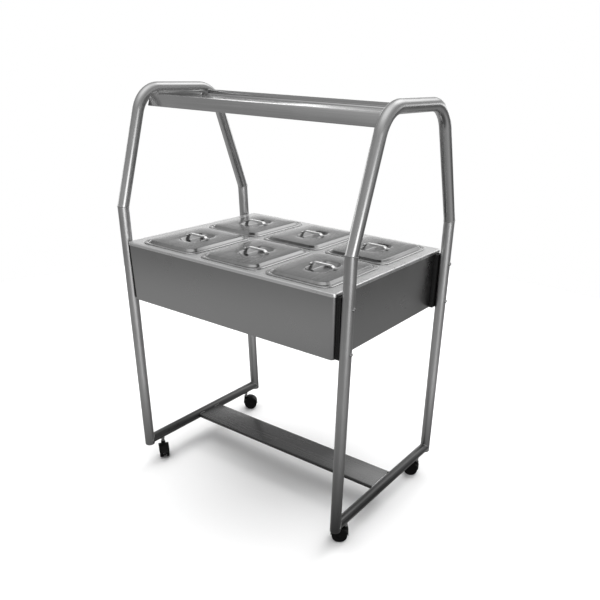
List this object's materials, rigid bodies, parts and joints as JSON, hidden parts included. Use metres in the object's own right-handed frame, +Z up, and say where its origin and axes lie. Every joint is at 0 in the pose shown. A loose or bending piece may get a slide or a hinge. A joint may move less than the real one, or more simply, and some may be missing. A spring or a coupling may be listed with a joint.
{
  "type": "steam table unit",
  "caption": "Stainless steel steam table on casters: a heated well of lidded food pans carried between two bent tube frames, with a narrow overshelf and a low stretcher.",
  "frame": {"origin": "on the floor under the middle of the unit", "axes": "+Z up, +X to the right along the columns of pans, -Y towards the front panel"},
  "size_m": [1.0526, 0.7412, 1.489],
  "materials": {
    "satin_tube": "satin-polished stainless tube",
    "sheet_steel": "stainless sheet with a fine brushed grain",
    "bright_steel": "bright stainless sheet",
    "pressed_steel": "deep-drawn stainless, lightly brushed",
    "black_plastic": "black moulded plastic",
    "wheel_tread": "black wheel tread",
    "mineral_wool": "mineral wool blanket",
    "brass": "machined brass"
  },
  "bodies": {
    "root": {"left_hoop": "satin_tube", "left_bottom_rail": "satin_tube", "right_hoop": "satin_tube", "right_bottom_rail": "satin_tube", "left_front_leg": "satin_tube", "left_front_spacer": "black_plastic", "left_front_bolt_plate": "bright_steel", "left_front_caster_stem": "bright_steel", "left_rear_leg": "satin_tube", "left_rear_spacer": "black_plastic", "left_rear_bolt_plate": "bright_steel", "left_rear_caster_stem": "bright_steel", "right_front_leg": "satin_tube", "right_front_spacer": "black_plastic", "right_front_bolt_plate": "bright_steel", "right_front_caster_stem": "bright_steel", "right_rear_leg": "satin_tube", "right_rear_spacer": "black_plastic", "right_rear_bolt_plate": "bright_steel", "right_rear_caster_stem": "bright_steel", "outer_casing": "sheet_steel", "casing_base": "sheet_steel", "overshelf": "sheet_steel", "stretcher_channel": "sheet_steel", "top_plate": "bright_steel", "water_well": "bright_steel", "insulation_wrap": "mineral_wool", "heating_element": "bright_steel", "thermostat": "black_plastic", "power_inlet": "black_plastic", "drain_valve": "brass"},
    "left_front_caster": {"left_front_caster_housing": "black_plastic"},
    "left_front_wheels": {"left_front_caster_wheels": "wheel_tread"},
    "left_rear_caster": {"left_rear_caster_housing": "black_plastic"},
    "left_rear_wheels": {"left_rear_caster_wheels": "wheel_tread"},
    "right_front_caster": {"right_front_caster_housing": "black_plastic"},
    "right_front_wheels": {"right_front_caster_wheels": "wheel_tread"},
    "right_rear_caster": {"right_rear_caster_housing": "black_plastic"},
    "right_rear_wheels": {"right_rear_caster_wheels": "wheel_tread"},
    "knob": {"control_knob": "black_plastic"},
    "drain_handle": {"drain_lever": "bright_steel"},
    "front_left_pan_body": {"front_left_pan": "bright_steel"},
    "front_left_lid_body": {"front_left_lid": "pressed_steel", "front_left_lid_handle": "bright_steel"},
    "front_middle_pan_body": {"front_middle_pan": "bright_steel"},
    "front_middle_lid_body": {"front_middle_lid": "pressed_steel", "front_middle_lid_handle": "bright_steel"},
    "front_right_pan_body": {"front_right_pan": "bright_steel"},
    "front_right_lid_body": {"front_right_lid": "pressed_steel", "front_right_lid_handle": "bright_steel"},
    "rear_left_pan_body": {"rear_left_pan": "bright_steel"},
    "rear_left_lid_body": {"rear_left_lid": "pressed_steel", "rear_left_lid_handle": "bright_steel"},
    "rear_middle_pan_body": {"rear_middle_pan": "bright_steel"},
    "rear_middle_lid_body": {"rear_middle_lid": "pressed_steel", "rear_middle_lid_handle": "bright_steel"},
    "rear_right_pan_body": {"rear_right_pan": "bright_steel"},
    "rear_right_lid_body": {"rear_right_lid": "pressed_steel", "rear_right_lid_handle": "bright_steel"}
  },
  "joints": [
    {"name": "front_left_pan_lift", "type": "slide", "parent": "root", "child": "front_left_pan_body", "axis": [0, 0, 1], "range_m": [0, 0.165]},
    {"name": "front_left_lid_lift", "type": "slide", "parent": "front_left_pan_body", "child": "front_left_lid_body", "axis": [0, 0, 1], "range_m": [0, 0.2]},
    {"name": "front_middle_pan_lift", "type": "slide", "parent": "root", "child": "front_middle_pan_body", "axis": [0, 0, 1], "range_m": [0, 0.165]},
    {"name": "front_middle_lid_lift", "type": "slide", "parent": "front_middle_pan_body", "child": "front_middle_lid_body", "axis": [0, 0, 1], "range_m": [0, 0.2]},
    {"name": "front_right_pan_lift", "type": "slide", "parent": "root", "child": "front_right_pan_body", "axis": [0, 0, 1], "range_m": [0, 0.165]},
    {"name": "front_right_lid_lift", "type": "slide", "parent": "front_right_pan_body", "child": "front_right_lid_body", "axis": [0, 0, 1], "range_m": [0, 0.2]},
    {"name": "rear_left_pan_lift", "type": "slide", "parent": "root", "child": "rear_left_pan_body", "axis": [0, 0, 1], "range_m": [0, 0.165]},
    {"name": "rear_left_lid_lift", "type": "slide", "parent": "rear_left_pan_body", "child": "rear_left_lid_body", "axis": [0, 0, 1], "range_m": [0, 0.2]},
    {"name": "rear_middle_pan_lift", "type": "slide", "parent": "root", "child": "rear_middle_pan_body", "axis": [0, 0, 1], "range_m": [0, 0.165]},
    {"name": "rear_middle_lid_lift", "type": "slide", "parent": "rear_middle_pan_body", "child": "rear_middle_lid_body", "axis": [0, 0, 1], "range_m": [0, 0.2]},
    {"name": "rear_right_pan_lift", "type": "slide", "parent": "root", "child": "rear_right_pan_body", "axis": [0, 0, 1], "range_m": [0, 0.165]},
    {"name": "rear_right_lid_lift", "type": "slide", "parent": "rear_right_pan_body", "child": "rear_right_lid_body", "axis": [0, 0, 1], "range_m": [0, 0.2]},
    {"name": "left_front_swivel", "type": "hinge", "parent": "root", "child": "left_front_caster", "pos_m": [-0.501, -0.28, 0.064], "axis": [0, 0, 1], "continuous": true},
    {"name": "left_front_wheel_spin", "type": "hinge", "parent": "left_front_caster", "child": "left_front_wheels", "pos_m": [-0.48343, -0.29324, 0.03], "axis": [0.6018, 0.7986, 0], "continuous": true},
    {"name": "left_rear_swivel", "type": "hinge", "parent": "root", "child": "left_rear_caster", "pos_m": [-0.501, 0.28, 0.064], "axis": [0, 0, 1], "continuous": true},
    {"name": "left_rear_wheel_spin", "type": "hinge", "parent": "left_rear_caster", "child": "left_rear_wheels", "pos_m": [-0.48465, 0.29472, 0.03], "axis": [-0.6691, 0.7431, 0], "continuous": true},
    {"name": "right_front_swivel", "type": "hinge", "parent": "root", "child": "right_front_caster", "pos_m": [0.501, -0.28, 0.064], "axis": [0, 0, 1], "continuous": true},
    {"name": "right_front_wheel_spin", "type": "hinge", "parent": "right_front_caster", "child": "right_front_wheels", "pos_m": [0.48266, -0.29214, 0.03], "axis": [0.5519, -0.8339, 0], "continuous": true},
    {"name": "right_rear_swivel", "type": "hinge", "parent": "root", "child": "right_rear_caster", "pos_m": [0.501, 0.28, 0.064], "axis": [0, 0, 1], "continuous": true},
    {"name": "right_rear_wheel_spin", "type": "hinge", "parent": "right_rear_caster", "child": "right_rear_wheels", "pos_m": [0.4809, 0.27105, 0.03], "axis": [0.4067, -0.9135, 0], "continuous": true},
    {"name": "knob_turn", "type": "hinge", "parent": "root", "child": "knob", "pos_m": [0.215, 0.35, 0.85], "axis": [0, -1, 0], "range_deg": [0, 270]},
    {"name": "drain_turn", "type": "hinge", "parent": "root", "child": "drain_handle", "pos_m": [-0.3, 0.212, 0.712], "axis": [0, 0, 1], "range_deg": [0, 90]}
  ]
}
